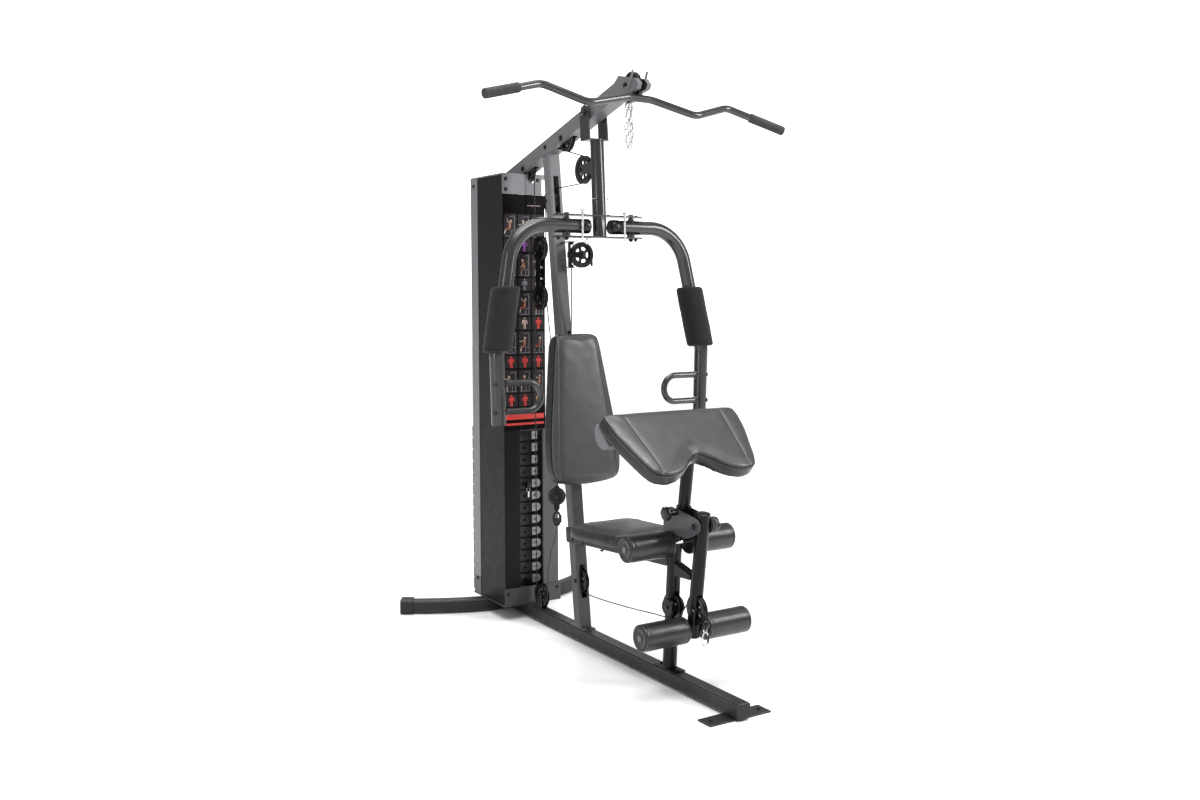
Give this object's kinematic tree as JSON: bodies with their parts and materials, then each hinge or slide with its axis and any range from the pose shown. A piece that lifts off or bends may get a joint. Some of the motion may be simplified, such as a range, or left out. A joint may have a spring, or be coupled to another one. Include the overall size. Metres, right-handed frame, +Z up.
{
  "type": "multi station home gym",
  "caption": "Multi station home gym with a weight stack, press and fly arms, lat bar, padded seat, arm curl pad and a leg developer with foam rollers.",
  "frame": {"origin": "on the floor under the middle of the footprint", "axes": "+X to the seated user's left, -Y towards the front foot plate, +Z up"},
  "size_m": [1.2001, 1.7022, 2.0481],
  "materials": {
    "charcoal_steel": "textured powder coat, satin",
    "black_steel": "satin paint",
    "shroud_black": "satin paint",
    "gunmetal": "gloss metallic paint",
    "chrome": "polished",
    "black_plastic": "moulded, satin",
    "rubber": "ribbed, matte",
    "foam": "matte foam skin",
    "vinyl": "grained vinyl",
    "weight_vinyl": "moulded shell, matte",
    "cable_black": "smooth coating",
    "placard": "printed board"
  },
  "bodies": {
    "frame": {"back_pad": "vinyl", "beam_front_cap": "black_plastic", "boom": "charcoal_steel", "exercise_placard": "placard", "front_foot_plate": "black_steel", "front_upright": "charcoal_steel", "guide_rod_left": "chrome", "guide_rod_right": "chrome", "hook_block": "black_plastic", "lower_cable": "cable_black", "main_beam": "charcoal_steel", "rear_stabilizer": "charcoal_steel", "resting_weights": "weight_vinyl", "seat_beam": "charcoal_steel", "seat_pad": "vinyl", "seat_post": "black_steel", "shroud_left": "shroud_black", "shroud_right": "shroud_black", "stabilizer_cap_left": "black_plastic", "stabilizer_cap_right": "black_plastic", "stack_frame": "charcoal_steel", "swivel_cable": "cable_black", "upper_cable": "cable_black", "upper_roller_axle": "chrome"},
    "press_arm": {"press_frame": "gunmetal"},
    "fly_arm_left": {"arm_left": "gunmetal", "foam_sleeve_left": "foam"},
    "fly_arm_right": {"arm_right": "gunmetal", "foam_sleeve_right": "foam"},
    "lock_pin_left": {"lock_pin_left": "chrome"},
    "lock_pin_right": {"lock_pin_right": "chrome"},
    "lifted_stack": {"top_weight": "weight_vinyl", "lifted_weights": "weight_vinyl"},
    "selector_pin": {"selector_pin": "chrome"},
    "leg_developer": {"leg_developer": "charcoal_steel", "lower_roller_axle": "chrome"},
    "curl_pad": {"preacher_post": "charcoal_steel", "preacher_pad": "vinyl"},
    "height_knob": {"height_knob": "black_plastic"},
    "lat_bar": {"lat_bar": "gunmetal", "lat_grip_left": "rubber", "lat_grip_right": "rubber"},
    "hanging_chain": {"hanging_chain": "chrome"},
    "swivel_yoke": {"swivel_yoke": "black_steel"},
    "swivel_pulley": {"swivel_pulley": "black_plastic"},
    "floating_block": {"floating_block": "black_plastic"},
    "press_pulley": {"press_pulley": "black_plastic"},
    "developer_pulley": {"developer_pulley": "black_plastic"},
    "upper_roller_left": {"upper_roller_left": "vinyl"},
    "upper_roller_right": {"upper_roller_right": "vinyl"},
    "lower_roller_left": {"lower_roller_left": "vinyl"},
    "lower_roller_right": {"lower_roller_right": "vinyl"},
    "tip_pulley": {"tip_pulley": "black_plastic"},
    "mid_pulley": {"mid_pulley": "black_plastic"},
    "rear_pulley": {"rear_pulley": "black_plastic"},
    "stack_pulley": {"stack_pulley": "black_plastic"},
    "slot_pulley": {"slot_pulley": "black_plastic"},
    "base_pulley": {"base_pulley": "black_plastic"},
    "low_pulley": {"low_pulley": "black_plastic"},
    "post_pulley": {"post_pulley": "black_plastic"}
  },
  "joints": [
    {"name": "press_arm_pivot", "type": "hinge", "parent": "frame", "child": "press_arm", "pos_m": [0, 0.027, 1.942], "axis": [-1, 0, 0], "range_deg": [0, 30], "deforming": ["upper_cable"]},
    {"name": "fly_left_pivot", "type": "hinge", "parent": "press_arm", "child": "fly_arm_left", "pos_m": [-0.135, -0.012, 1.5425], "axis": [0, 0, 1], "range_deg": [0, 75]},
    {"name": "fly_right_pivot", "type": "hinge", "parent": "press_arm", "child": "fly_arm_right", "pos_m": [0.135, -0.012, 1.5425], "axis": [0, 0, -1], "range_deg": [0, 75]},
    {"name": "lock_pin_left_pull", "type": "slide", "parent": "press_arm", "child": "lock_pin_left", "axis": [0, 0, 1], "range_m": [0, 0.09]},
    {"name": "lock_pin_right_pull", "type": "slide", "parent": "press_arm", "child": "lock_pin_right", "axis": [0, 0, 1], "range_m": [0, 0.09]},
    {"name": "stack_lift", "type": "slide", "parent": "frame", "child": "lifted_stack", "axis": [0, 0, 1], "range_m": [0, 0.215], "deforming": ["upper_cable"]},
    {"name": "selector_pin_pull", "type": "slide", "parent": "lifted_stack", "child": "selector_pin", "axis": [0, -1, 0], "range_m": [0, 0.16]},
    {"name": "developer_pivot", "type": "hinge", "parent": "frame", "child": "leg_developer", "pos_m": [0, -0.632, 0.571], "axis": [-1, 0, 0], "range_deg": [0, 80], "stiffness_Nm_per_rad": 5, "springref_deg": -28.65, "deforming": ["upper_cable", "lower_cable"]},
    {"name": "floating_block_travel", "type": "slide", "parent": "frame", "child": "floating_block", "axis": [0, 0, -1], "range_m": [0, 0.2], "deforming": ["upper_cable", "lower_cable"]},
    {"name": "curl_pad_height", "type": "slide", "parent": "frame", "child": "curl_pad", "axis": [0, -0.1377, 0.9905], "range_m": [0, 0.05]},
    {"name": "height_knob_turn", "type": "hinge", "parent": "frame", "child": "height_knob", "pos_m": [0, -0.52931, 0.6], "axis": [1, 0, 0], "continuous": true},
    {"name": "lat_bar_pull", "type": "slide", "parent": "frame", "child": "lat_bar", "axis": [0, 0, -1], "range_m": [0, 0.6], "stiffness_N_per_m": 50, "springref_m": -1, "deforming": ["upper_cable"]},
    {"name": "chain_swing", "type": "hinge", "parent": "frame", "child": "hanging_chain", "pos_m": [0, -0.203, 1.9497], "axis": [1, 0, 0], "range_deg": [-25, 10]},
    {"name": "swivel_turn", "type": "hinge", "parent": "frame", "child": "swivel_yoke", "pos_m": [0.012, 0.203, 1.45], "axis": [0, 0, 1], "range_deg": [-70, 5], "deforming": ["swivel_cable"]},
    {"name": "swivel_pulley_spin", "type": "hinge", "parent": "swivel_yoke", "child": "swivel_pulley", "pos_m": [0.0565, 0.203, 1.45], "axis": [0, 1, 0], "continuous": true},
    {"name": "tip_pulley_spin", "type": "hinge", "parent": "frame", "child": "tip_pulley", "pos_m": [0, -0.2205, 2.001], "axis": [1, 0, 0], "continuous": true},
    {"name": "mid_pulley_spin", "type": "hinge", "parent": "frame", "child": "mid_pulley", "pos_m": [0, 0.212, 1.876], "axis": [1, 0, 0], "continuous": true},
    {"name": "rear_pulley_spin", "type": "hinge", "parent": "frame", "child": "rear_pulley", "pos_m": [0, 0.508, 1.791], "axis": [1, 0, 0], "continuous": true},
    {"name": "stack_pulley_spin", "type": "hinge", "parent": "frame", "child": "stack_pulley", "pos_m": [0, 0.6405, 1.745], "axis": [1, 0, 0], "continuous": true},
    {"name": "slot_pulley_spin", "type": "hinge", "parent": "frame", "child": "slot_pulley", "pos_m": [0, 0.33, 1.655], "axis": [1, 0, 0], "continuous": true},
    {"name": "base_pulley_spin", "type": "hinge", "parent": "frame", "child": "base_pulley", "pos_m": [0, 0.419, 0.106], "axis": [1, 0, 0], "continuous": true},
    {"name": "low_pulley_spin", "type": "hinge", "parent": "frame", "child": "low_pulley", "pos_m": [0, 0.117, 0.232], "axis": [1, 0, 0], "continuous": true},
    {"name": "post_pulley_spin", "type": "hinge", "parent": "frame", "child": "post_pulley", "pos_m": [0, -0.4755, 0.272], "axis": [1, 0, 0], "continuous": true},
    {"name": "press_pulley_spin", "type": "hinge", "parent": "press_arm", "child": "press_pulley", "pos_m": [0, 0.093, 1.752], "axis": [1, 0, 0], "continuous": true},
    {"name": "developer_pulley_spin", "type": "hinge", "parent": "leg_developer", "child": "developer_pulley", "pos_m": [0, -0.6065, 0.292], "axis": [1, 0, 0], "continuous": true},
    {"name": "upper_roller_left_spin", "type": "hinge", "parent": "frame", "child": "upper_roller_left", "pos_m": [0, -0.5, 0.492], "axis": [1, 0, 0], "continuous": true},
    {"name": "lower_roller_left_spin", "type": "hinge", "parent": "leg_developer", "child": "lower_roller_left", "pos_m": [0, -0.588, 0.225], "axis": [1, 0, 0], "continuous": true},
    {"name": "upper_roller_right_spin", "type": "hinge", "parent": "frame", "child": "upper_roller_right", "pos_m": [0, -0.5, 0.492], "axis": [1, 0, 0], "continuous": true},
    {"name": "lower_roller_right_spin", "type": "hinge", "parent": "leg_developer", "child": "lower_roller_right", "pos_m": [0, -0.588, 0.225], "axis": [1, 0, 0], "continuous": true}
  ],
  "couplings": [
    {"joint": "stack_lift", "follows": "press_arm_pivot", "m_per_rad": 0.4},
    {"joint": "floating_block_travel", "follows": "developer_pivot", "m_per_rad": 0.14}
  ]
}
